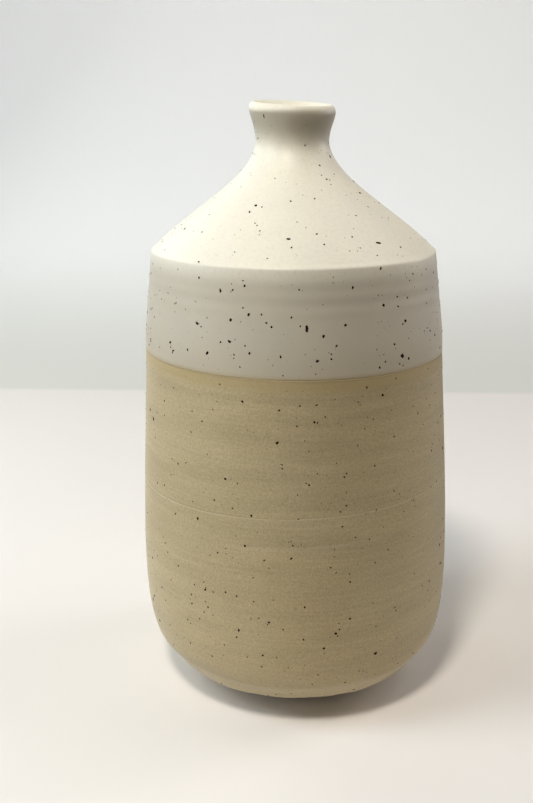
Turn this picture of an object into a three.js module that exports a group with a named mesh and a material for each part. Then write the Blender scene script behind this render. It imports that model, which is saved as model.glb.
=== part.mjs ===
// A wheel-thrown stoneware bottle vase: a bare speckled clay body, a white glaze coat over its
// shoulder, neck and lip, and a poured liner glaze inside.
// Millimetres, +Z up. The origin is the centre of the foot, on the surface the vase stands on.
import * as THREE from 'three';

// Driving dimensions of the outside
const HEIGHT = 206; // foot to the top of the lip
const FOOT_RADIUS = 28; // edge of the flat foot
const BEVEL_RADIUS = 45.8; // upper edge of the wide trimmed bevel above the foot
const BEVEL_Z = 10;
const HIP_RADIUS = 50.5; // upper edge of the narrow second bevel, where the round body starts
const HIP_Z = 16.6;
const BELLY_RADIUS = 55.2; // the widest ring of the body
const BELLY_Z = 48;
const GLAZE_LINE_RADIUS = 51.8; // lower edge of the outside glaze
const GLAZE_LINE_Z = 123.7;
const SHOULDER_RADIUS = 48.6; // the crisp edge between wall and cone
const SHOULDER_Z = 157;
const SHOULDER_ROLL = 1.5; // how far the shoulder edge is rolled over
const CONE_AIM_RADIUS = 33.9; // the cone leaves the shoulder towards this ring, then hollows out
const CONE_AIM_Z = 171.5;
const WAIST_RADIUS = 12.4; // narrowest ring of the neck
const WAIST_Z = 193.5;
const RIM_RADIUS = 14.4; // where the flare of the neck meets the lip
const RIM_Z = 203.2;
const LIP_TOP_RADIUS = 12.9; // the crest of the lip

// Driving dimensions of the inside
const MOUTH_RADIUS = 10.3;
const MOUTH_Z = 203.4;
const WALL_THICKNESS = 4.6; // at the belly, glaze included
const NECK_THICKNESS = 3.2;
const FLOOR_Z = 7.5; // glazed floor
const FLOOR_RADIUS = 26;
const GLAZE_THICKNESS = 0.5;

const LEAN = 2.7; // sideways lean towards -X over the whole height, 0 at the belly

const ROUND_STEPS = 40; // facets round the axis

const point = (radius, z) => new THREE.Vector2(radius, z);

function line(start, end) {
  return [start, end];
}

function bend(start, pullStart, pullEnd, end, steps) {
  return new THREE.CubicBezierCurve(start, pullStart, pullEnd, end).getPoints(steps);
}

// Joins stretches that share their end points into one outline.
function join(...stretches) {
  return stretches.reduce((outline, stretch) => outline.concat(stretch.slice(1)));
}

// The bare outside: flat foot, two trimmed bevels, round belly and the wall up to the glaze line.
function bareOutside() {
  const footEdge = point(FOOT_RADIUS, 0);
  const bevelTop = point(BEVEL_RADIUS, BEVEL_Z);
  const hip = point(HIP_RADIUS, HIP_Z);
  const belly = point(BELLY_RADIUS, BELLY_Z);
  const glazeLine = point(GLAZE_LINE_RADIUS, GLAZE_LINE_Z);
  return join(
    line(point(0, 0), footEdge),
    line(footEdge, bevelTop),
    line(bevelTop, hip),
    bend(hip, point(HIP_RADIUS + 2.3, HIP_Z + 3.2), point(BELLY_RADIUS, BELLY_Z - 22), belly, 5),
    bend(belly, point(BELLY_RADIUS, BELLY_Z + 22),
      point(GLAZE_LINE_RADIUS + 0.2, GLAZE_LINE_Z - 10), glazeLine, 3),
  );
}

// The glazed outside: the wall from the glaze line up, the rolled shoulder edge, the hollow cone,
// the waisted neck and the flared rim.
function glazedOutside() {
  const glazeLine = point(GLAZE_LINE_RADIUS, GLAZE_LINE_Z);
  const wallTop = point(SHOULDER_RADIUS + 0.5, SHOULDER_Z - 4.5);
  const shoulder = point(SHOULDER_RADIUS, SHOULDER_Z);
  const coneFoot = point(SHOULDER_RADIUS - SHOULDER_ROLL, SHOULDER_Z + SHOULDER_ROLL);
  const waist = point(WAIST_RADIUS, WAIST_Z);
  const rim = point(RIM_RADIUS, RIM_Z);
  return join(
    bend(glazeLine, point(GLAZE_LINE_RADIUS - 0.2, GLAZE_LINE_Z + 10),
      point(wallTop.x + 1.7, wallTop.y - 17), wallTop, 2),
    bend(wallTop, point(wallTop.x - 0.2, wallTop.y + 2),
      point(SHOULDER_RADIUS + 0.25, SHOULDER_Z - 1.2), shoulder, 1),
    bend(shoulder, point(SHOULDER_RADIUS - 0.1, SHOULDER_Z + 0.5),
      point(SHOULDER_RADIUS - 0.6, SHOULDER_Z + 0.8), coneFoot, 2),
    bend(coneFoot, point(CONE_AIM_RADIUS, CONE_AIM_Z), point(WAIST_RADIUS, WAIST_Z - 12), waist, 8),
    bend(waist, point(WAIST_RADIUS, WAIST_Z + 4), point(RIM_RADIUS - 0.4, RIM_Z - 2.2), rim, 3),
  );
}

// The lip rolls from the rim over its crest and slopes down into the mouth.
function lip() {
  const rim = point(RIM_RADIUS, RIM_Z);
  const crest = point(LIP_TOP_RADIUS, HEIGHT);
  const mouth = point(MOUTH_RADIUS, MOUTH_Z);
  return join(
    bend(rim, point(RIM_RADIUS + 0.15, RIM_Z + 1.1), point(LIP_TOP_RADIUS + 1, HEIGHT), crest, 3),
    bend(crest, point(LIP_TOP_RADIUS - 0.8, HEIGHT), point(MOUTH_RADIUS + 0.5, MOUTH_Z + 0.7), mouth, 2),
  );
}

// The glazed inside: neck bore, the underside of the shoulder, the wall and the floor.
function glazedInside() {
  const mouth = point(MOUTH_RADIUS, MOUTH_Z);
  const boreWaist = point(WAIST_RADIUS - NECK_THICKNESS, WAIST_Z);
  const shoulderInside = point(SHOULDER_RADIUS - WALL_THICKNESS, SHOULDER_Z - WALL_THICKNESS);
  const bellyInside = point(BELLY_RADIUS - WALL_THICKNESS, BELLY_Z);
  const floorEdge = point(FLOOR_RADIUS, FLOOR_Z);
  return join(
    bend(mouth, point(mouth.x - 0.5, mouth.y - 2.6), point(boreWaist.x, WAIST_Z + 5), boreWaist, 2),
    bend(boreWaist, point(boreWaist.x, WAIST_Z - 13.5),
      point(CONE_AIM_RADIUS - WALL_THICKNESS, CONE_AIM_Z - NECK_THICKNESS), shoulderInside, 6),
    bend(shoulderInside, point(GLAZE_LINE_RADIUS - WALL_THICKNESS, GLAZE_LINE_Z),
      point(bellyInside.x, BELLY_Z + 22), bellyInside, 2),
    bend(bellyInside, point(bellyInside.x, BELLY_Z - 22),
      point(BEVEL_RADIUS - 1, FLOOR_Z + 4), floorEdge, 4),
    line(floorEdge, point(0, FLOOR_Z)),
  );
}

// Moves an outline to its left-hand side by a distance: into the clay, when the outline is
// walked from the glaze line over the lip to the floor inside.
function offset(outline, distance) {
  return outline.map((here, index) => {
    const before = outline[Math.max(index - 1, 0)];
    const after = outline[Math.min(index + 1, outline.length - 1)];
    const along = after.clone().sub(before).normalize();
    return point(Math.max(here.x - along.y * distance, 0), here.y + along.x * distance);
  });
}

// The whole vase leans a little, as it came off the wheel: each ring is shifted along X, and the
// widest ring stays centred on the axis.
function lean(geometry) {
  const position = geometry.getAttribute('position');
  for (let index = 0; index < position.count; index += 1) {
    const share = (position.getZ(index) - BELLY_Z) / HEIGHT;
    position.setX(index, position.getX(index) - LEAN * share);
  }
  geometry.computeVertexNormals();
}

function turned(name, outline, material) {
  const geometry = new THREE.LatheGeometry(outline, ROUND_STEPS);
  geometry.rotateX(Math.PI / 2);
  lean(geometry);
  const mesh = new THREE.Mesh(geometry, material);
  mesh.name = name;
  return mesh;
}

// The glaze surface from the glaze line over the lip to the floor inside, and the clay under it.
const overLip = join(glazedOutside(), lip());
const glazeFace = join(overLip, glazedInside());
const clayFace = offset(glazeFace, GLAZE_THICKNESS);
const mouthIndex = overLip.length - 1;

function clayBody() {
  const outline = bareOutside().concat(clayFace);
  const material = new THREE.MeshStandardMaterial({ color: 0xb3a583, roughness: 0.85, metalness: 0 });
  return turned('clay_body', outline, material);
}

function outerGlaze() {
  const face = glazeFace.slice(0, mouthIndex + 1);
  const back = clayFace.slice(0, mouthIndex + 1).reverse();
  const outline = [...face, ...back, face[0]];
  const material = new THREE.MeshStandardMaterial({ color: 0xe9e4da, roughness: 0.45, metalness: 0 });
  return turned('outer_glaze', outline, material);
}

function linerGlaze() {
  const face = glazeFace.slice(mouthIndex);
  const back = clayFace.slice(mouthIndex).reverse();
  const outline = [...back, ...face];
  const material = new THREE.MeshStandardMaterial({ color: 0xe4dfd3, roughness: 0.4, metalness: 0 });
  return turned('liner_glaze', outline, material);
}

const group = new THREE.Group();
group.add(clayBody(), outerGlaze(), linerGlaze());
export default group;
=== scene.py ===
"""The looks of a wheel-thrown stoneware bottle vase.

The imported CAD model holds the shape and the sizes. This script turns the same outline again with
fine rows, adds the marks of the wheel, the glaze edge and the iron specks, and sets up the
materials, the stage, the light and the camera.

Lengths are millimetres until MM turns them into metres. A turn is an angle in degrees round the
vase: 0 is the front, which faces -Y, and it grows towards +X.
"""

import math
import random
from collections import namedtuple

import bpy
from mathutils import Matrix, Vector, noise


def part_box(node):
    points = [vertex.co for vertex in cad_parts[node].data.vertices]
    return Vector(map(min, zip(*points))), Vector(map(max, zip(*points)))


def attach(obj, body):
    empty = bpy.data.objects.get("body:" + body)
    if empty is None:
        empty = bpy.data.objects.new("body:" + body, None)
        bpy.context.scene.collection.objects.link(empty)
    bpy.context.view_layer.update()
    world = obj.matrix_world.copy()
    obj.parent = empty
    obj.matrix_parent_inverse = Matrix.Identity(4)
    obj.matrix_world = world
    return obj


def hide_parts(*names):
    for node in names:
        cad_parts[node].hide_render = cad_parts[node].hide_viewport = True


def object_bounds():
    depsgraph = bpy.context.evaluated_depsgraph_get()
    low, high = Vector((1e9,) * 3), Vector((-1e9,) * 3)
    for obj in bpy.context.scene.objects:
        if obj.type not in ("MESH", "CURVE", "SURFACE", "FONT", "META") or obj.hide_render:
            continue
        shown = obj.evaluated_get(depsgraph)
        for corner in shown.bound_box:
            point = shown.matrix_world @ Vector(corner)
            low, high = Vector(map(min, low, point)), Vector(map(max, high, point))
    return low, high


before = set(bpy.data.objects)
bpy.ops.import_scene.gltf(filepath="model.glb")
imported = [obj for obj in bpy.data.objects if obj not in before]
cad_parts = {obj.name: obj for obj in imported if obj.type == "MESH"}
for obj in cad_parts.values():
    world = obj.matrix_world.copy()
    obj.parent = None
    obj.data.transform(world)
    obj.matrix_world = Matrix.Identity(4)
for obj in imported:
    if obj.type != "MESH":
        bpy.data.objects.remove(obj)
CAD_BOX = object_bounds()

MM = 0.001

# ------------------------------------------------------------------------------------------ sizes
CAD_LOW, CAD_HIGH = CAD_BOX
HEIGHT = CAD_HIGH.z / MM
BELLY_RADIUS = (CAD_HIGH.y - CAD_LOW.y) / 2 / MM
GLAZE_LINE_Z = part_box("outer_glaze")[0].z / MM
GLAZE = 0.5  # thickness of both glaze coats
FLOOR_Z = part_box("liner_glaze")[0].z / MM + GLAZE

FOOT_RADIUS = 28
BEVEL_RADIUS = 45.8
BEVEL_Z = 10
HIP_RADIUS = 50.5
HIP_Z = 16.6
BELLY_Z = 48
GLAZE_LINE_RADIUS = 51.8
SHOULDER_RADIUS = 48.6
SHOULDER_Z = 157
SHOULDER_ROLL = 1.5  # size of the soft edge between wall and cone
CONE_AIM_RADIUS = 33.9  # the cone leaves the shoulder towards this point
CONE_AIM_Z = 171.5
WAIST_RADIUS = 12.4
WAIST_Z = 193.5
RIM_RADIUS = 14.4
RIM_Z = 203.2
LIP_TOP_RADIUS = 12.9
MOUTH_RADIUS = 10.3
MOUTH_Z = 203.4
WALL = 4.6
NECK_WALL = 3.2
FLOOR_RADIUS = 26
BELLY_REACH = 22  # length of the curve handles at the belly, which keep it upright there
LINE_REACH = 10  # the same at the glaze line

LEAN = 2.7  # sideways lean towards -X over the whole height, 0 at the belly
RIM_DROP = 1.0  # half of the height that the uneven rim falls from its back to its front right
RIM_DROP_TURN = 42
RIM_BLEND = (186, 203)  # heights between which that fall sets in
TILT_START = 35  # the tilts below set in from here up, and are gone again at TILT_END
TILT_END = 150
LINE_TILT = 0.031  # mm per mm along X: the incised line climbs to the right
GLAZE_TILT = -0.005  # the glaze line falls to the right
INCISED_Z = 79.3

ROUND_STEPS = 256
HIDDEN_COARSE = 6  # how many times wider the rows are spaced where glaze and clay meet

Row = namedtuple("Row", "radius z out marked")


# --------------------------------------------------------------------------------------- outlines
def point(radius, z):
    return Vector((radius, z))


def bend(start, leave, arrive, end, steps=48):
    """A cubic curve as a list of points. Its two handles are given as offsets from its ends."""
    pull_start = start + Vector(leave)
    pull_end = end + Vector(arrive)
    points = []
    for index in range(steps + 1):
        t = index / steps
        u = 1 - t
        points.append(u**3 * start + 3 * u * u * t * pull_start + 3 * u * t * t * pull_end + t**3 * end)
    return points


def evenly(line, spacing):
    """The same line with its points an even distance apart. Both ends stay."""
    reach = [0.0]
    for before, after in zip(line, line[1:]):
        reach.append(reach[-1] + (after - before).length)
    count = max(1, round(reach[-1] / spacing))
    points = []
    index = 0
    for step in range(count + 1):
        want = reach[-1] * step / count
        while index < len(line) - 2 and reach[index + 1] < want:
            index += 1
        share = (want - reach[index]) / (reach[index + 1] - reach[index])
        points.append(line[index].lerp(line[index + 1], min(max(share, 0), 1)))
    return points


def join(*stretches):
    line = list(stretches[0])
    for stretch in stretches[1:]:
        line += stretch[1:]
    return line


def bare_outside():
    """The bare clay: flat foot, two trimmed bevels, round belly and the wall up to the glaze line."""
    foot_edge = point(FOOT_RADIUS, 0)
    bevel_top = point(BEVEL_RADIUS, BEVEL_Z)
    hip = point(HIP_RADIUS, HIP_Z)
    belly = point(BELLY_RADIUS, BELLY_Z)
    glaze_line = point(GLAZE_LINE_RADIUS, GLAZE_LINE_Z)
    round_body = bend(hip, (2.3, 3.2), (0, -BELLY_REACH), belly)
    wall = bend(belly, (0, BELLY_REACH), (0.2, -LINE_REACH), glaze_line)
    return join(
        evenly([point(0, 0), foot_edge], spacing=2.5),
        evenly([foot_edge, bevel_top], spacing=0.7),
        evenly([bevel_top, hip], spacing=0.5),
        evenly(round_body, spacing=0.68),
        evenly(wall, spacing=0.48),
    )


def glazed_outside(coarse):
    """The wall above the glaze line, the shoulder edge, the cone, the neck and the flared rim."""
    glaze_line = point(GLAZE_LINE_RADIUS, GLAZE_LINE_Z)
    shoulder = point(SHOULDER_RADIUS, SHOULDER_Z)
    wall_top = shoulder + point(0.5, -4.5)
    cone_foot = shoulder + point(-SHOULDER_ROLL, SHOULDER_ROLL)
    cone_aim = point(CONE_AIM_RADIUS, CONE_AIM_Z)
    waist = point(WAIST_RADIUS, WAIST_Z)
    rim = point(RIM_RADIUS, RIM_Z)
    return join(
        evenly(bend(glaze_line, (-0.2, LINE_REACH), (1.7, -17), wall_top), spacing=0.4 * coarse),
        evenly(bend(wall_top, (-0.2, 2), (0.25, -1.2), shoulder), spacing=0.3 * coarse),
        evenly(bend(shoulder, (-0.1, 0.5), (0.9, -0.7), cone_foot), spacing=0.22 * coarse),
        evenly(bend(cone_foot, cone_aim - cone_foot, (0, -12), waist), spacing=0.5 * coarse),
        evenly(bend(waist, (0, 4), (-0.4, -2.2), rim), spacing=0.4 * coarse),
    )


def lip(coarse):
    """From the rim over the crest of the lip and down its inner slope to the mouth."""
    rim = point(RIM_RADIUS, RIM_Z)
    crest = point(LIP_TOP_RADIUS, HEIGHT)
    mouth = point(MOUTH_RADIUS, MOUTH_Z)
    return join(
        evenly(bend(rim, (0.15, 1.1), (1, 0), crest), spacing=0.25 * coarse),
        evenly(bend(crest, (-0.8, 0), (0.5, 0.7), mouth), spacing=0.3 * coarse),
    )


def glazed_inside():
    """Neck bore, the underside of the shoulder, the wall and the floor."""
    mouth = point(MOUTH_RADIUS, MOUTH_Z)
    bore = point(WAIST_RADIUS - NECK_WALL, WAIST_Z)
    cone_aim = point(CONE_AIM_RADIUS - WALL, CONE_AIM_Z - NECK_WALL)
    shoulder = point(SHOULDER_RADIUS - WALL, SHOULDER_Z - WALL)
    wall_aim = point(GLAZE_LINE_RADIUS - WALL, GLAZE_LINE_Z)
    belly = point(BELLY_RADIUS - WALL, BELLY_Z)
    floor_edge = point(FLOOR_RADIUS, FLOOR_Z)
    corner_aim = point(BEVEL_RADIUS - 1, FLOOR_Z + 4)
    return join(
        evenly(bend(mouth, (-0.5, -2.6), (0, 5), bore), spacing=0.7),
        evenly(bend(bore, (0, -13.5), cone_aim - shoulder, shoulder), spacing=2),
        evenly(bend(shoulder, wall_aim - shoulder, (0, BELLY_REACH), belly), spacing=5),
        evenly(bend(belly, (0, -BELLY_REACH), corner_aim - floor_edge, floor_edge), spacing=4),
        evenly([floor_edge, point(0, FLOOR_Z)], spacing=5),
    )


def outwards(line, index):
    """The direction out of the clay, to the right of a line that is walked from the foot up."""
    before = line[max(index - 1, 0)]
    after = line[min(index + 1, len(line) - 1)]
    along = (after - before).normalized()
    return point(along.y, -along.x)


def rows_of(line, marked):
    return [Row(here.x, here.y, outwards(line, index), marked) for index, here in enumerate(line)]


def sunk(rows, depth):
    """The rows moved into the clay, where the back of the glaze lies."""
    return [row._replace(radius=max(row.radius - row.out.x * depth, 0), z=row.z - row.out.y * depth)
            for row in rows]


# ----------------------------------------------------------------------------- marks of the maker
def ease(low, high, value):
    """0 below low, 1 above high, and a smooth step between them."""
    share = min(max((value - low) / (high - low), 0), 1)
    return share * share * (3 - 2 * share)


def between(rise, fall, value):
    """1 in the middle and 0 outside, with a smooth step up over rise and down over fall."""
    return ease(*rise, value) * (1 - ease(*fall, value))


def swell(value, middle, width):
    """A soft bump of height 1."""
    return math.exp(-(((value - middle) / width) ** 2))


def drift(turn, z, round_scale, z_scale, seed):
    """Smooth noise from -1 to 1 that closes on itself round the vase."""
    angle = math.radians(turn)
    place = Vector((math.sin(angle) * round_scale, math.cos(angle) * round_scale, z / z_scale + 17 * seed))
    return noise.noise(place)


RING_PITCH = 5.0
RING_DEPTH = 0.038
RING_TOP_Z = 151.2
# Heights between which the rings set in and fade out again, on the wall and fainter on the cone
WALL_RINGS = ((132, 146), (154, 157))
CONE_RINGS = ((160, 164), (176, 186))
CONE_RING_SHARE = 0.25


def throwing_rings(turn, z):
    """The finger's spiral under the glaze, strongest just below the shoulder."""
    strength = between(*WALL_RINGS, z) + CONE_RING_SHARE * between(*CONE_RINGS, z)
    depth = RING_DEPTH * (0.9 + 1.1 * drift(turn, z, 1.2, 9, 1))
    return -strength * depth * math.cos(2 * math.pi * (z - RING_TOP_Z) / RING_PITCH)


# Even bands of the trimming tool: depth, height of the middle, width
TRIMMED_BANDS = [(0.07, 119, 1.8), (-0.05, 115.2, 1.6), (0.04, 105.5, 3)]
# Uneven ones: depth, and the scale round the vase, the scale upwards and the seed of their drift
TRIMMED_DRIFTS = [(0.035, 1.1, 3.1, 2), (0.05, 0.9, 9, 3), (0.012, 1.4, 0.9, 4)]
TRIMMED_WALL = ((10, 26), (121, 123.5))  # heights between which they set in and fade out


def trimming_waves(turn, z):
    """Low bands that the trimming tool left on the bare wall."""
    even = sum(depth * swell(z, middle, width) for depth, middle, width in TRIMMED_BANDS)
    loose = sum(depth * drift(turn, z, round_scale, z_scale, seed)
                for depth, round_scale, z_scale, seed in TRIMMED_DRIFTS)
    return (even + loose) * between(*TRIMMED_WALL, z)


# Scratches in the bare wall: height, first and last turn, rise in mm per radian, depth, half width
SCRATCHES = [
    (INCISED_Z, -180, 180, 0, 0.06, 0.2),
    (76.5, -38, 34, 0, 0.035, 0.2),
    (69.7, -28, 37, 0.6, 0.06, 0.3),
    (68.9, -30, 40, 0.6, -0.04, 0.3),
    (105.4, -2, 14, 1.5, 0.03, 0.25),
    (92.2, -10, -1, 0, 0.03, 0.25),
    (90.2, -6, 8, 1.0, 0.03, 0.25),
    (96.5, 28, 58, 3.0, 0.03, 0.3),
    (90.5, 26, 44, 2.5, 0.03, 0.25),
    (60.5, 30, 55, 3.0, 0.025, 0.3),
    (45.0, -35, 5, -1.0, 0.02, 0.3),
]
SCRATCH_END = 8  # degrees over which a scratch runs out


def scratch_depths(turn, z):
    """The depth of each scratch at a place, most of them 0."""
    depths = []
    for height, first, last, rise, depth, half_width in SCRATCHES:
        middle = (first + last) / 2
        off = z - height - rise * math.radians(turn - middle)
        if abs(off) > 4 * half_width:
            continue
        ends = 1
        if last - first < 360:
            ends = between((first, first + SCRATCH_END), (last - SCRATCH_END, last), turn)
        broken = ease(-0.35, 0.25, drift(turn, height, 9, 3, 8))
        depths.append(depth * ends * (0.35 + 0.65 * broken) * swell(off, 0, half_width))
    return depths


def painted_scratch_light(turn, z):
    """How much painted light falls on the clay just below each scratch, where its lower edge faces up: 0 to
    1.
    """
    return min(sum(abs(depth) for depth in scratch_depths(turn, z + 0.2)) / 0.2, 0.8)


WOBBLE = 0.1
WOBBLE_FADE = (190, 202)  # heights between which it fades out, below the rim
FLAT_DEPTH = 0.4
FLAT_SINK = 0.25  # how deep the flats lie on average
NICK_DEPTH = 0.5
FOOT_ZONE = ((-2, 4), (13, 19))  # heights between which flats and nicks set in and fade out
OVERLAP = 0.1
OVERLAP_REACH = 4


def wobble(turn, z):
    """Hand-made roundness, never outside the turned outline."""
    return WOBBLE * (drift(turn, z, 0.8, 60, 5) - 1) * (1 - ease(*WOBBLE_FADE, z))


def trimmed_facets(turn, z):
    """The hand-held tool left the bevels uneven: shallow flats and nicks round the foot."""
    flats = FLAT_DEPTH * drift(turn, z, 3.2, 9, 6) - FLAT_SINK
    nicks = NICK_DEPTH * min(drift(turn, z, 9, 5, 7), 0)
    return (flats + nicks) * between(*FOOT_ZONE, z)


def glaze_overlap(z):
    """The bare clay sits a little lower than the glaze face just under the glaze line."""
    return -OVERLAP * math.exp(-(GLAZE_LINE_Z - z) / OVERLAP_REACH) if z < GLAZE_LINE_Z else 0


def marks(turn, z):
    """How far the outside stands out from the turned outline."""
    height = throwing_rings(turn, z) + wobble(turn, z)
    if z < GLAZE_LINE_Z - 0.01:
        height += trimming_waves(turn, z) + trimmed_facets(turn, z) + glaze_overlap(z)
        height -= sum(scratch_depths(turn, z))
    return height


def tilt(z):
    """How much a level ring at this height is tilted, in mm per mm along X."""
    if z < INCISED_Z:
        return LINE_TILT * ease(TILT_START, INCISED_Z, z)
    if z < GLAZE_LINE_Z:
        return LINE_TILT + (GLAZE_TILT - LINE_TILT) * ease(INCISED_Z, GLAZE_LINE_Z, z)
    return GLAZE_TILT * (1 - ease(GLAZE_LINE_Z, TILT_END, z))


def placed(row, turn):
    """Where a row of the outline is at a turn, with its marks, tilt, uneven rim and lean, in mm."""
    angle = math.radians(turn)
    radius, z = row.radius, row.z
    if row.marked:
        height = marks(turn, z)
        radius += row.out.x * height
        z = z + row.out.y * height if z > 0 else 0
    if abs(row.out.x) > 0.9:
        climb = tilt(row.z) * radius * math.sin(angle)
        radius -= climb * row.out.y / row.out.x
        z += climb
    z -= RIM_DROP * (1 + math.cos(angle - math.radians(RIM_DROP_TURN))) * ease(*RIM_BLEND, row.z)
    shift = LEAN * (row.z - BELLY_Z) / HEIGHT
    return Vector((radius * math.sin(angle) - shift, -radius * math.cos(angle), z))


# ----------------------------------------------------------------------------------------- meshes
def finished(name, vertices, faces, material):
    mesh = bpy.data.meshes.new(name)
    mesh.from_pydata([vertex * MM for vertex in vertices], [], faces)
    mesh.update()
    mesh.polygons.foreach_set("use_smooth", [True] * len(mesh.polygons))
    mesh.materials.append(material)
    piece = bpy.data.objects.new(name, mesh)
    bpy.context.collection.objects.link(piece)
    return piece


def store(piece, name, values):
    """A number at every vertex, which the material reads by its name."""
    piece.data.attributes.new(name, "FLOAT", "POINT").data.foreach_set("value", values)


def turned(name, rows, material, steps=ROUND_STEPS):
    """A closed solid of revolution. Its rows end on the axis, or else the last joins the first."""
    vertices, rings, scratch_light = [], [], []
    for row in rows:
        count = 1 if row.radius < 1e-6 else steps
        rings.append(range(len(vertices), len(vertices) + count))
        for step in range(count):
            turn = 360 * step / steps - 180
            vertices.append(placed(row, turn))
            scratch_light.append(painted_scratch_light(turn, row.z) if row.marked and row.z < GLAZE_LINE_Z - 1 else 0)
    pairs = list(zip(rings, rings[1:]))
    if len(rings[0]) > 1:
        pairs.append((rings[-1], rings[0]))
    faces = []
    for low, high in pairs:
        for step in range(steps):
            after = (step + 1) % steps
            corners = [low[step % len(low)], low[after % len(low)],
                       high[after % len(high)], high[step % len(high)]]
            faces.append(list(dict.fromkeys(corners)))
    piece = finished(name, vertices, faces, material)
    store(piece, "scratch", scratch_light)
    return piece


def glaze_edge_rows():
    """The rounded lower edge of the outside glaze, from the clay outwards."""
    steps = [(GLAZE, 0), (0.12, 0), (0.06, 0.08), (0.02, 0.25)]
    outward = point(1, 0)
    return [Row(GLAZE_LINE_RADIUS - inset, GLAZE_LINE_Z + climb, outward, True) for inset, climb in steps]


def glaze_face(coarse):
    """The glaze from its lower edge to the mouth, with rows spread apart by a factor."""
    return rows_of(glazed_outside(coarse), True) + rows_of(lip(coarse), False)[1:]


def clay_body(material):
    bare = [row._replace(marked=row.out.y > -0.95) for row in rows_of(bare_outside(), True)]
    under_glaze = sunk(glaze_face(HIDDEN_COARSE), GLAZE)
    under_liner = sunk(rows_of(glazed_inside(), False), GLAZE)
    return turned("clay_body_thrown", bare + under_glaze + under_liner[1:], material)


def outer_glaze(material):
    face = glaze_edge_rows() + glaze_face(1)[1:]
    back = sunk(glaze_face(HIDDEN_COARSE), GLAZE)[1:]
    return turned("outer_glaze_coat", face + back[::-1], material)


def liner_glaze(material):
    face = rows_of(glazed_inside(), False)
    back = sunk(face, GLAZE)
    return turned("liner_glaze_coat", back[::-1] + face, material)


# ------------------------------------------------------------------------------------------ specks
OUTSIDE = rows_of(join(bare_outside(), glazed_outside(1)), True)


def row_at(z):
    """The row of the outside at any height from the bevel to the lip."""
    after = next(index for index, row in enumerate(OUTSIDE) if row.z > z)
    low, high = OUTSIDE[after - 1], OUTSIDE[after]
    share = (z - low.z) / (high.z - low.z)
    return Row(low.radius + share * (high.radius - low.radius), z, low.out.lerp(high.out, share), True)


def skin(turn, z):
    """A place on the outside with its directions across, up and out."""
    here = placed(row_at(z), turn)
    across = (placed(row_at(z), turn + 0.5) - placed(row_at(z), turn - 0.5)).normalized()
    up = (placed(row_at(z + 0.4), turn) - placed(row_at(z - 0.4), turn)).normalized()
    return here, across, up, across.cross(up).normalized()


def add_speck(shape, draw, turn, z, wide, tall, tone, corners=11):
    """One iron speck: a low irregular dome sunk into the skin. shape holds vertices, faces and tones."""
    vertices, faces, tones = shape
    here, across, up, out = skin(turn, z)
    height = 0.03 + 0.03 * (wide + tall)
    slant = draw.uniform(-0.5, 0.5)
    knobs = [1 + draw.uniform(-0.24, 0.2) for _ in range(corners)]
    base = len(vertices)
    for reach, lift, shade in ((1.0, -0.02, 0.8), (0.92, 0.45 * height, 0.95), (0.55, 0.9 * height, 1.0)):
        for corner, knob in enumerate(knobs):
            angle = 2 * math.pi * corner / corners
            side = math.cos(angle + slant) * wide / 2 * reach * knob
            rise = math.sin(angle) * tall / 2 * reach * knob
            vertices.append(here + across * side + up * rise + out * lift)
            tones.append(tone * shade)
    top, bottom = len(vertices), len(vertices) + 1
    vertices += [here + out * height, here - out * 0.08]
    tones += [tone, tone]
    for corner in range(corners):
        after = (corner + 1) % corners
        for ring in (base, base + corners):
            faces.append([ring + corner, ring + after, ring + corners + after, ring + corners + corner])
        faces.append([base + 2 * corners + corner, base + 2 * corners + after, top])
        faces.append([base + after, base + corner, bottom])


# The boldest specks of the front: turn, height, width and height of the speck
GLAZE_SPECKS = [
    (5, 139.6, 0.95, 2.0), (2.8, 140.4, 0.5, 0.7), (42, 128.8, 1.5, 1.4), (-50, 131, 1.1, 0.9),
    (-31, 130.3, 1.1, 1.2), (-26.4, 150, 0.8, 1.4), (-36, 139.1, 1.2, 1.0), (-48, 128.6, 1.1, 0.8),
    (-22.2, 134.8, 1.2, 0.9), (33.8, 156.5, 0.7, 1.1), (8.5, 129.8, 1.1, 0.8), (34.3, 145.2, 1.0, 0.9),
    (-22, 141.4, 0.9, 1.0), (10.7, 137.3, 0.8, 1.1), (44.5, 139.4, 1.0, 0.9), (-15.3, 143.4, 0.8, 1.0),
    (45.3, 127.5, 0.8, 1.1), (38.3, 132.9, 0.9, 0.8), (21.9, 151.4, 0.7, 1.2), (31.5, 126.3, 0.7, 0.8),
    (-4, 131.1, 0.6, 1.1), (18.7, 140.3, 0.9, 0.8), (-14.8, 131.7, 0.7, 0.9), (15.2, 134.2, 0.8, 0.8),
    (-1.6, 165.2, 1.4, 0.9), (40, 163.2, 1.9, 1.0), (65.4, 176.7, 1.5, 0.8), (-24.3, 173.9, 1.0, 1.0),
    (-26.2, 172.1, 0.8, 0.8), (-37, 157.9, 0.9, 0.7), (51, 161.4, 0.9, 0.7), (-40, 202, 0.5, 1.4),
]
CLAY_SPECKS = [
    (30, 28.6, 1.3, 1.2), (14.3, 39.3, 0.9, 0.9), (-32, 51.3, 0.9, 0.9), (-17.4, 116.4, 0.9, 0.9),
    (-5.2, 104.2, 1.1, 1.1), (-35, 76.2, 0.9, 1.0), (-16.5, 69.8, 0.7, 1.0), (10.2, 34.1, 0.9, 0.8),
    (-8.4, 43.6, 0.9, 0.7), (-19.2, 39.1, 0.7, 1.0), (-0.8, 66.3, 0.8, 0.8), (19.3, 44, 0.8, 0.8),
    (-23.7, 91.3, 1.0, 0.8), (8.1, 116.1, 0.8, 0.6), (7.3, 110.7, 0.8, 0.8), (-14.2, 80.2, 0.8, 0.8),
    (16.6, 75.8, 0.8, 0.6), (32.7, 117.4, 0.9, 0.8), (-10.9, 31, 0.8, 0.8), (18.1, 82.6, 0.7, 0.6),
]
FRONT = 60  # the bold specks of the front, up to this turn, are the listed ones
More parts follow.
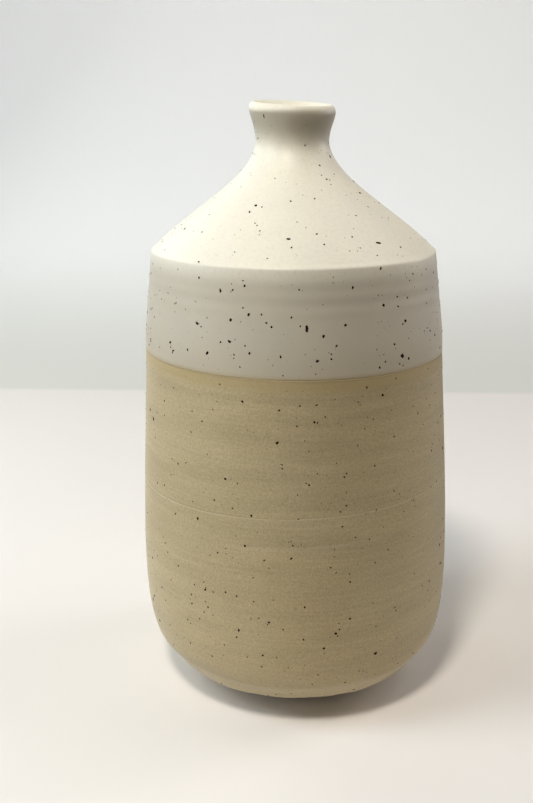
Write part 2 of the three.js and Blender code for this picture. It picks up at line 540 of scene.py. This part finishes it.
# Heights between which specks are scattered, and how many bold, middling and fine ones
GLAZE_ZONES = [(125, 156, 65, 130, 260), (159, 200, 25, 80, 160)]
CLAY_ZONES = [(8, 122, 70, 480, 900)]


def scattered(draw, count, low, high):
    """Places spread evenly over the skin between two heights."""
    widest = max(row.radius for row in OUTSIDE if low <= row.z <= high)
    places = []
    while len(places) < count:
        turn, z = draw.uniform(-180, 180), draw.uniform(low, high)
        if draw.random() < row_at(z).radius / widest:
            places.append((turn, z))
    return places


def specks(name, listed, zones, seed, material):
    """One piece with the listed specks and scattered ones. A zone is low, high, bold, middling and fine."""
    draw = random.Random(seed)
    shape = ([], [], [])
    for turn, z, wide, tall in listed:
        add_speck(shape, draw, turn, z, wide, tall, 1)
    for low, high, bold, middling, fine in zones:
        for turn, z in scattered(draw, bold, low, high):
            if abs(turn) > FRONT:
                size = draw.uniform(0.7, 1.1)
                add_speck(shape, draw, turn, z, size, size * draw.uniform(0.8, 1.5), 1)
        for turn, z in scattered(draw, middling, low, high):
            size = draw.uniform(0.38, 0.7)
            add_speck(shape, draw, turn, z, size, size * draw.uniform(0.8, 1.3), draw.uniform(0.75, 1), 8)
        for turn, z in scattered(draw, fine, low, high):
            size = draw.uniform(0.18, 0.38)
            add_speck(shape, draw, turn, z, size, size * draw.uniform(0.8, 1.3), draw.uniform(0.45, 0.9), 6)
    piece = finished(name, shape[0], shape[1], material)
    store(piece, "tone", shape[2])
    return piece


# --------------------------------------------------------------------------------------- materials
GLAZE_WHITE = (0.835, 0.785, 0.665)
GLAZE_ROSE = (0.81, 0.765, 0.665)
WALL_PAINTED_SHADE = (0.72, 0.70, 0.675)  # painted shade: the glaze wall is darker than the cone, as it faces sideways and catches less of the light from above
# painted shade on the neck, under the flared rim
NECK_PAINTED_SHADE = (0.66, 0.635, 0.605)
GLAZE_THIN = (0.54, 0.47, 0.35)
GLAZE_EDGE = (0.50, 0.405, 0.245)
FAINT_SPECK = (0.35, 0.28, 0.20)
CLAY_BUFF = (0.505, 0.42, 0.258)
CLAY_WARM = (0.487, 0.397, 0.239)
CLAY_FLASH = (0.487, 0.378, 0.196)
# CLAY_LINE also serves as painted shade on the upper wall of the incised cut
CLAY_LINE = (0.30, 0.215, 0.106)
# pale clay: painted light on the lower edges of the scratches and the cut, and on the bevels below the hip
CLAY_PAINTED_LIGHT = (0.68, 0.60, 0.44)
DARK_SPECK = (0.10, 0.07, 0.05)
SPECK_TAN = (0.30, 0.22, 0.15)
SPECK_BROWN = (0.13, 0.03, 0.022)
SPECK_BLACK = (0.032, 0.009, 0.008)

THIN_HEIGHT = 14  # how far above its lower edge the glaze is thinned
EDGE_HEIGHT = 1.8  # height of the stained lower edge
FLASH_DEPTH = 5  # how far below the glaze the bare clay is flashed
FRECKLE_LEAST = 0.5  # radius of the smallest freckle, as a share of the size asked for
FRECKLE_SPREAD = 0.6  # how much wider the largest is, as a share of the same


def new_material(name):
    material = bpy.data.materials.new(name)
    material.use_nodes = True
    return material, material.node_tree


def add(tree, kind, inputs=None, **settings):
    """A node with its settings, and its inputs as numbers or as links."""
    item = tree.nodes.new("ShaderNode" + kind)
    for key, value in settings.items():
        setattr(item, key, value)
    for key, value in (inputs or {}).items():
        if isinstance(value, bpy.types.NodeSocket):
            tree.links.new(value, item.inputs[key])
        else:
            item.inputs[key].default_value = value
    return item


def calc(tree, operation, first, second=0.0):
    return add(tree, "Math", {0: first, 1: second}, operation=operation).outputs[0]


def fade(tree, value, low, high, from_value=0.0, to_value=1.0):
    """A smooth step of a value between two limits, mapped to two results."""
    return add(tree, "MapRange", {"Value": value, "From Min": low, "From Max": high, "To Min": from_value,
                                  "To Max": to_value}, interpolation_type="SMOOTHSTEP").outputs[0]


def mix(tree, share, first, second, blend="MIX"):
    item = add(tree, "Mix", {"Factor": share}, data_type="RGBA", blend_type=blend)
    for socket, value in ((item.inputs[6], first), (item.inputs[7], second)):
        if isinstance(value, bpy.types.NodeSocket):
            tree.links.new(value, socket)
        else:
            socket.default_value = (*value, 1)
    return item.outputs[2]


def grain(tree, where, scale, detail=2.0, stretch=None):
    """Noise from 0 to 1 with its scale in features per mm."""
    if stretch:
        where = add(tree, "VectorMath", {0: where, 1: stretch}, operation="MULTIPLY").outputs[0]
    return add(tree, "TexNoise", {"Vector": where, "Scale": scale, "Detail": detail}).outputs[0]


def in_mm(tree):
    """The place on the piece in mm, and its X and Z on their own."""
    coordinates = add(tree, "TexCoord").outputs["Object"]
    where = add(tree, "VectorMath", {0: coordinates, 1: (1 / MM,) * 3}, operation="MULTIPLY").outputs[0]
    parts = add(tree, "SeparateXYZ", {0: where})
    return where, parts.outputs["X"], parts.outputs["Z"]


def freckles(tree, where, per_mm, share, size):
    """Small round spots at some of the random points of a cell pattern, 1 inside and 0 outside."""
    cells = add(tree, "TexVoronoi", {"Vector": where, "Scale": per_mm})
    lot = add(tree, "SeparateColor", {0: cells.outputs["Color"]})
    spread = calc(tree, "ADD", calc(tree, "MULTIPLY", lot.outputs[1], FRECKLE_SPREAD), FRECKLE_LEAST)
    radius = calc(tree, "ADD", calc(tree, "MULTIPLY", spread, size * per_mm), 0.02)
    inside = fade(tree, calc(tree, "DIVIDE", cells.outputs["Distance"], radius), 1.0, 0.5)
    chosen = calc(tree, "LESS_THAN", lot.outputs[0], share)
    return calc(tree, "MULTIPLY", inside, chosen)


def above(tree, x, z, line_z, slope):
    """The height above a ring of the vase that is tilted along X."""
    return calc(tree, "SUBTRACT", calc(tree, "SUBTRACT", z, line_z), calc(tree, "MULTIPLY", x, slope))


def product(tree, first, *others):
    for other in others:
        first = calc(tree, "MULTIPLY", first, other)
    return first


def shader(tree):
    return tree.nodes["Principled BSDF"]


def glaze_material():
    material, tree = new_material("white_satin_glaze")
    bsdf = shader(tree)
    where, x, z = in_mm(tree)
    clouds = grain(tree, where, 0.045, 3)
    colour = mix(tree, fade(tree, clouds, 0.35, 0.65), GLAZE_WHITE, GLAZE_ROSE)
    # Painted shade on the upright wall below the shoulder
    on_wall = fade(tree, z, SHOULDER_Z - 7, SHOULDER_Z + 0.5, 1, 0)
    colour = mix(tree, on_wall, colour, mix(tree, 1.0, colour, WALL_PAINTED_SHADE, "MULTIPLY"))
    # Painted shade on the neck under the flared rim, fading out at the lip
    above_waist = fade(tree, z, WAIST_Z - 4, RIM_Z - 4)
    below_lip = fade(tree, z, RIM_Z - 1.5, RIM_Z + 0.3, 1, 0)
    on_neck = product(tree, above_waist, below_lip)
    colour = mix(tree, on_neck, colour, mix(tree, 1.0, colour, NECK_PAINTED_SHADE, "MULTIPLY"))
    above_line = above(tree, x, z, GLAZE_LINE_Z, GLAZE_TILT)
    colour = mix(tree, fade(tree, above_line, THIN_HEIGHT, 0, 0, 0.45), colour, GLAZE_THIN)
    colour = mix(tree, fade(tree, above_line, EDGE_HEIGHT, 0.2, 0, 0.65), colour, GLAZE_EDGE)
    mottling = product(tree, fade(tree, grain(tree, where, 0.9, 3), 0.4, 0.75), 0.13)
    colour = mix(tree, mottling, colour, GLAZE_THIN)
    spots = freckles(tree, where, 0.42, 0.4, 0.16)
    colour = mix(tree, product(tree, spots, 0.4), colour, FAINT_SPECK)
    tree.links.new(colour, bsdf.inputs["Base Color"])
    tree.links.new(fade(tree, grain(tree, where, 0.3), 0.3, 0.7, 0.38, 0.46), bsdf.inputs["Roughness"])
    bsdf.inputs["Specular IOR Level"].default_value = 0.36
    bsdf.inputs["IOR"].default_value = 1.55
    relief = add(tree, "Bump", {"Height": grain(tree, where, 0.7), "Strength": 0.35, "Distance": 0.05 * MM})
    tree.links.new(relief.outputs[0], bsdf.inputs["Normal"])
    return material


def clay_shade(tree, fine, streaks, bands):
    """The clay's lights and darks as a grey: its grain, the tool's streaks and broad bands."""
    shade = product(
        tree,
        fade(tree, fine, 0.25, 0.75, 0.88, 1.12),
        fade(tree, streaks, 0.25, 0.75, 0.96, 1.04),
        fade(tree, bands, 0.3, 0.7, 0.95, 1.05),
    )
    return add(tree, "CombineColor", {0: shade, 1: shade, 2: shade}).outputs[0]


def incised_line(tree, where, x, z, colour):
    """The cut round the wall with a painted highlight on its lower edge and painted shade on its upper wall,
    side by side and broken here and there.
    """
    above_cut = above(tree, x, z, INCISED_Z, LINE_TILT)
    unbroken = fade(tree, grain(tree, where, 0.25), 0.3, 0.6, 0.4, 1)
    for height, line_colour, strength in ((-0.12, CLAY_PAINTED_LIGHT, 0.5), (0.2, CLAY_LINE, 0.3)):
        off = calc(tree, "ABSOLUTE", calc(tree, "SUBTRACT", above_cut, height))
        line_share = product(tree, fade(tree, off, 0.2, 0.08, 0, strength), unbroken)
        colour = mix(tree, line_share, colour, line_colour)
    return colour


def clay_material():
    material, tree = new_material("bare_stoneware")
    bsdf = shader(tree)
    where, x, z = in_mm(tree)
    patches = grain(tree, where, 0.03, 2)
    colour = mix(tree, fade(tree, patches, 0.3, 0.7), CLAY_BUFF, CLAY_WARM)
    fine = grain(tree, where, 1.7, 3)
    streaks = grain(tree, where, 1.0, 3, (0.06, 0.06, 1.1))
    bands = grain(tree, where, 1.0, 2, (0.02, 0.02, 0.16))
    colour = mix(tree, 1.0, colour, clay_shade(tree, fine, streaks, bands), "MULTIPLY")
    below_line = calc(tree, "MULTIPLY", above(tree, x, z, GLAZE_LINE_Z, GLAZE_TILT), -1)
    colour = mix(tree, fade(tree, below_line, FLASH_DEPTH, FLASH_DEPTH / 2, 0, 0.6), colour, CLAY_FLASH)
    colour = mix(tree, fade(tree, below_line, 0.8, 0.3, 0, 0.25), colour, CLAY_LINE)
    # Painted light on the lower edge of each scratch
    scratch_light_share = add(tree, "Attribute", attribute_name="scratch").outputs["Fac"]
    colour = mix(tree, scratch_light_share, colour, CLAY_PAINTED_LIGHT)
    colour = incised_line(tree, where, x, z, colour)
    # Painted light: the bevels below the hip are painted paler where they catch the light
    painted_foot_light = product(tree, fade(tree, z, HIP_Z + 1, HIP_Z - 1), 0.2)
    colour = mix(tree, painted_foot_light, colour, CLAY_PAINTED_LIGHT)
    spots = freckles(tree, where, 0.55, 0.3, 0.13)
    colour = mix(tree, product(tree, spots, 0.6), colour, DARK_SPECK)
    tree.links.new(colour, bsdf.inputs["Base Color"])
    tree.links.new(fade(tree, fine, 0.2, 0.8, 0.78, 0.92), bsdf.inputs["Roughness"])
    bsdf.inputs["Specular IOR Level"].default_value = 0.4
    bsdf.inputs["Sheen Weight"].default_value = 0.26
    bsdf.inputs["Sheen Roughness"].default_value = 0.45
    height = calc(tree, "ADD", fine, product(tree, streaks, 0.6))
    relief = add(tree, "Bump", {"Height": height, "Strength": 0.5, "Distance": 0.06 * MM})
    tree.links.new(relief.outputs[0], bsdf.inputs["Normal"])
    return material


def liner_material():
    material, tree = new_material("liner_glaze")
    bsdf = shader(tree)
    where, _, _ = in_mm(tree)
    colour = mix(tree, fade(tree, grain(tree, where, 0.06, 3), 0.3, 0.7), GLAZE_WHITE, GLAZE_ROSE)
    tree.links.new(colour, bsdf.inputs["Base Color"])
    tree.links.new(fade(tree, grain(tree, where, 0.3), 0.3, 0.7, 0.3, 0.4), bsdf.inputs["Roughness"])
    return material


def iron_material(name, roughness):
    material, tree = new_material(name)
    bsdf = shader(tree)
    where, _, _ = in_mm(tree)
    tone = add(tree, "Attribute", attribute_name="tone").outputs["Fac"]
    uneven = calc(tree, "ADD", tone, product(tree, grain(tree, where, 5), 0.1))
    ramp = add(tree, "ValToRGB", {0: uneven})
    stops = ramp.color_ramp.elements
    stops[0].position, stops[0].color = 0.15, (*SPECK_TAN, 1)
    stops[1].position, stops[1].color = 0.95, (*SPECK_BLACK, 1)
    middle = stops.new(0.68)
    middle.color = (*SPECK_BROWN, 1)
    tree.links.new(ramp.outputs[0], bsdf.inputs["Base Color"])
    tree.links.new(fade(tree, grain(tree, where, 4), 0.3, 0.7, roughness - 0.08, roughness + 0.08),
                   bsdf.inputs["Roughness"])
    bsdf.inputs["Specular IOR Level"].default_value = 0.06
    return material


# ------------------------------------------------------------------------------------------- stage
SWEEP_START = 378  # the floor starts to rise this far behind the vase
SWEEP_RADIUS = 300
SWEEP_STEPS = 24
STAGE_TOP = 1200
STAGE_HALF = 1600
NEAR_HALF = 300  # half width of the strip that the vase stands on
NEAR_FRONT = 190  # its reach in front of the vase

FLOOR_WHITE = (0.835, 0.80, 0.775)
SWEEP_SHADE = (0.735, 0.73, 0.70)  # painted shade where the paper starts to rise, in the crease between floor and wall
WALL_WHITE = (0.86, 0.86, 0.86)
WALL_RISE = (4, 80)  # heights between which the paper turns to that white
WALL_GLOW = 0.155  # the backdrop's own share of the room light
GLOW_RISE = (-40, 110)  # heights between which that glow sets in
FAR_GLOW = 0.5  # more of it far out to the sides and in front, beyond the reach of the lamps
FAR_REACH = (400, 1200)  # distances from the vase between which that sets in


def paper_strip(name, left, right, profile, material):
    """A strip of the backdrop: a profile of (y, z) points drawn out along X."""
    vertices, faces = [], []
    for y, z in profile:
        vertices += [Vector((left, y, z)), Vector((right, y, z))]
    for index in range(len(profile) - 1):
        faces.append([2 * index, 2 * index + 1, 2 * index + 3, 2 * index + 2])
    return finished(name, vertices, faces, material)


def paper_material():
    material, tree = new_material("backdrop_paper")
    bsdf = shader(tree)
    where, _, z = in_mm(tree)
    place = add(tree, "SeparateXYZ", {0: where})
    y = place.outputs["Y"]
    aside = calc(tree, "MAXIMUM", calc(tree, "ABSOLUTE", place.outputs["X"]), calc(tree, "MULTIPLY", y, -1))
    paper = mix(tree, fade(tree, y, SWEEP_START - 4, SWEEP_START + 6), FLOOR_WHITE, SWEEP_SHADE)
    paper = mix(tree, fade(tree, z, *WALL_RISE), paper, WALL_WHITE)
    tree.links.new(paper, bsdf.inputs["Base Color"])
    bsdf.inputs["Roughness"].default_value = 0.9
    bsdf.inputs["Specular IOR Level"].default_value = 0.1
    bsdf.inputs["Emission Color"].default_value = (1, 1, 1, 1)
    wall_glow = fade(tree, z, *GLOW_RISE, 0, WALL_GLOW)
    far_glow = fade(tree, aside, *FAR_REACH, 0, FAR_GLOW)
    tree.links.new(calc(tree, "ADD", wall_glow, far_glow), bsdf.inputs["Emission Strength"])
    return material


def stage():
    """A pale floor that rises into a backdrop behind the vase.

    The strip near the vase throws light back on it. The strips round it only carry the look further.
    """
    material = paper_material()
    back = [(SWEEP_START, 0)]
    for step in range(1, SWEEP_STEPS + 1):
        angle = math.pi / 2 * step / SWEEP_STEPS
        back.append((SWEEP_START + SWEEP_RADIUS * math.sin(angle), SWEEP_RADIUS * (1 - math.cos(angle))))
    back.append((SWEEP_START + SWEEP_RADIUS, STAGE_TOP))
    near = paper_strip("backdrop_near", -NEAR_HALF, NEAR_HALF, [(-NEAR_FRONT, 0)] + back, material)
    whole = [(-STAGE_HALF, 0)] + back
    far = [
        paper_strip("backdrop_front", -NEAR_HALF, NEAR_HALF, [(-STAGE_HALF, 0), (-NEAR_FRONT, 0)], material),
        paper_strip("backdrop_left", -STAGE_HALF, -NEAR_HALF, whole, material),
        paper_strip("backdrop_right", NEAR_HALF, STAGE_HALF, whole, material),
    ]
    for piece in far:
        piece.visible_diffuse = False


# ------------------------------------------------------------------------------- light and camera
ROOM_AIR = (0.74, 0.74, 0.72)  # the room beyond the paper

# Soft lamps round the vase: name, turn and height angle in degrees, distance and size in mm, watts of
# red, green and blue
LAMPS = [
    ("ceiling_front", -17, 56.5, 900, 150, (4.7, 4.43, 3.95)),
    ("window_high", -69, 43, 900, 420, (2.4, 2.75, 2.97)),
    ("window_low", -80, 20, 850, 450, (1.7, 1.79, 1.93)),
    ("room_right", 92, 52, 900, 450, (1.15, 1.13, 1.06)),
    ("wall_right", 112, 18, 800, 300, (1.5, 1.4, 1.36)),
    ("wall_high", 120, 45, 800, 300, (0.1, 0.14, 0.18)),
    ("wall_left", -130, 28, 600, 400, (0.72, 0.75, 0.68)),
]


CAMERA_PLACE = (0.75, -350.3, 203.9)
CAMERA_PITCH = 16.19  # degrees below level
CAMERA_YAW = 1.85  # degrees to the left
CAMERA_LENS = 45.6  # mm
CAMERA_SENSOR = 36  # mm along the longer side of the picture
CAMERA_CONTRAST = 0.9  # below 1, tones are set further apart, as a hand-held camera does


def lights():
    """Lamps aimed at the middle of the vase and hidden from the camera.

    The room round them shows to the camera and in reflections, but it gives no diffuse light.
    """
    world = bpy.data.worlds.new("room")
    bpy.context.scene.world = world
    world.color = ROOM_AIR
    world.cycles_visibility.diffuse = False
    middle = Vector((0, 0, HEIGHT / 2))
    for name, turn, climb, distance, size, watts in LAMPS:
        data = bpy.data.lights.new(name, "AREA")
        data.shape = "DISK"
        data.size = size * MM
        data.energy = max(watts)
        data.color = [part / data.energy for part in watts]
        lamp = bpy.data.objects.new(name, data)
        flat = distance * math.cos(math.radians(climb))
        away = Vector((flat * math.sin(math.radians(turn)), -flat * math.cos(math.radians(turn)),
                       distance * math.sin(math.radians(climb))))
        lamp.location = (middle + away) * MM
        lamp.rotation_euler = (-away).to_track_quat("-Z", "Y").to_euler()
        lamp.visible_camera = False
        bpy.context.collection.objects.link(lamp)


def camera():
    data = bpy.data.cameras.new("camera")
    data.lens = CAMERA_LENS
    data.sensor_width = CAMERA_SENSOR
    data.clip_start = 0.01
    eye = bpy.data.objects.new("camera", data)
    eye.location = Vector(CAMERA_PLACE) * MM
    eye.rotation_euler = (math.radians(90 - CAMERA_PITCH), 0, math.radians(CAMERA_YAW))
    bpy.context.collection.objects.link(eye)
    bpy.context.scene.camera = eye


# -------------------------------------------------------------------------------------- the vase
def put(piece, node):
    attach(piece, "root")
    if node:
        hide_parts(node)


camera()
stage()
lights()
put(clay_body(clay_material()), "clay_body")
put(outer_glaze(glaze_material()), "outer_glaze")
put(liner_glaze(liner_material()), "liner_glaze")
put(specks("glaze_iron_specks", GLAZE_SPECKS, GLAZE_ZONES, 5, iron_material("iron_in_glaze", 0.5)),
    None)
put(specks("clay_iron_specks", CLAY_SPECKS, CLAY_ZONES, 9, iron_material("iron_in_clay", 0.75)),
    None)

bpy.context.scene.view_settings.view_transform = "Standard"
bpy.context.scene.view_settings.gamma = CAMERA_CONTRAST
